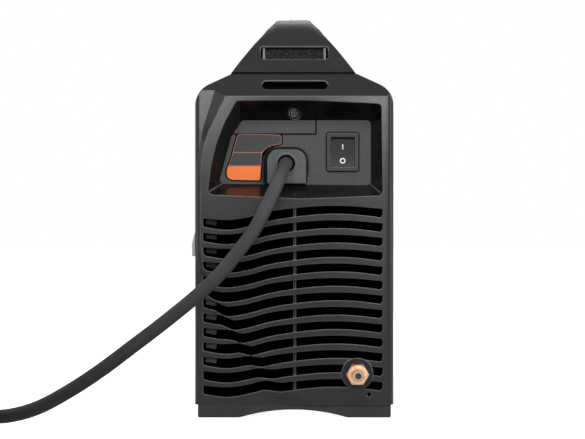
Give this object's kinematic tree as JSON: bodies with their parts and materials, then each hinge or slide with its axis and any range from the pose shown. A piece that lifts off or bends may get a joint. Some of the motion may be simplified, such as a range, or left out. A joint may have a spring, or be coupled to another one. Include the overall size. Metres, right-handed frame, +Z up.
{
  "type": "plasma cutter power unit",
  "caption": "Plasma cutter power unit with carrying handle, wavy intake grille, recessed power switch, mains cable with plug, air inlet and front controls.",
  "frame": {"origin": "centre of the footprint on the plane that the feet stand on, measured without the mains cable", "axes": "+X to the right seen from behind, +Y towards the control side, +Z up"},
  "size_m": [0.487, 0.616, 0.3255],
  "materials": {
    "case_plastic": "fine moulded texture",
    "dark_plastic": "plain moulded",
    "gloss_black": "polished",
    "cover_paint": "fine powder coat",
    "panel_paint": "satin",
    "zinc": "zinc plated",
    "switch_grey": "plain moulded",
    "filter_foam": "open-cell foam",
    "brass": "turned",
    "spigot_metal": "turned",
    "pale_plastic": "plain moulded",
    "display_red": "polished",
    "lens_green": "polished",
    "button_orange": "plain moulded",
    "board_green": "solder mask",
    "capacitor_blue": "sleeve",
    "aluminium": "extruded",
    "ferrite": "sintered",
    "copper": "enamelled wire",
    "hose_blue": "hose",
    "valve_body": "cast",
    "cable_rubber": "matt",
    "plug_plastic": "matt moulded"
  },
  "bodies": {
    "housing": {"rear_bezel": "case_plastic", "rear_panel": "panel_paint", "cable_clamp": "dark_plastic", "bezel_screws": "zinc", "switch_housing": "switch_grey", "intake_filter": "filter_foam", "air_inlet_nut": "brass", "air_inlet_spigot": "spigot_metal", "rear_foot": "dark_plastic", "front_foot": "dark_plastic", "handle": "case_plastic", "strap_pads": "dark_plastic", "handle_screws": "zinc", "cover": "cover_paint", "cover_screws": "zinc", "side_hook": "pale_plastic", "base_pan": "zinc", "front_bezel": "case_plastic", "front_panel": "zinc", "control_overlay": "gloss_black", "display_window": "display_red", "indicator_lenses": "lens_green", "potentiometer": "board_green", "control_board": "board_green", "torch_socket": "dark_plastic", "torch_pins": "brass", "torch_socket_nut": "zinc", "work_socket": "dark_plastic", "work_insert": "brass", "work_socket_nut": "zinc", "fan_frame": "dark_plastic", "fan_screws": "zinc", "board_rails": "zinc", "main_board": "board_green", "capacitors": "capacitor_blue", "heat_sinks": "aluminium", "transformer_core": "ferrite", "transformer_winding": "copper", "choke_core": "ferrite", "choke_winding": "copper", "air_hose": "hose_blue", "air_valve": "valve_body", "air_regulator": "gloss_black", "torch_hose": "hose_blue", "mains_cable": "cable_rubber", "cable_coil": "cable_rubber", "coil_tie": "dark_plastic", "mains_plug": "plug_plastic", "plug_pins": "zinc"},
    "switch_rocker": {"switch_rocker": "gloss_black"},
    "fan_rotor": {"fan_rotor": "dark_plastic"},
    "current_knob": {"current_knob": "dark_plastic", "knob_shaft": "zinc"},
    "mode_button": {"mode_button": "button_orange"},
    "air_test_button": {"air_test_button": "switch_grey"}
  },
  "joints": [
    {"name": "switch_rock", "type": "hinge", "parent": "housing", "child": "switch_rocker", "pos_m": [0.0419, -0.1665, 0.2146], "axis": [-1, 0, 0], "range_deg": [0, 20]},
    {"name": "fan_spin", "type": "hinge", "parent": "housing", "child": "fan_rotor", "pos_m": [0.0025, -0.148, 0.104], "axis": [0, 1, 0], "continuous": true},
    {"name": "knob_turn", "type": "hinge", "parent": "housing", "child": "current_knob", "pos_m": [0.0385, 0.1955, 0.213], "axis": [0, 1, 0], "range_deg": [-150, 150]},
    {"name": "mode_press", "type": "slide", "parent": "housing", "child": "mode_button", "axis": [0, -1, 0], "range_m": [0, 0.0015], "stiffness_N_per_m": 400},
    {"name": "air_test_press", "type": "slide", "parent": "housing", "child": "air_test_button", "axis": [0, -1, 0], "range_m": [0, 0.0015], "stiffness_N_per_m": 400}
  ]
}
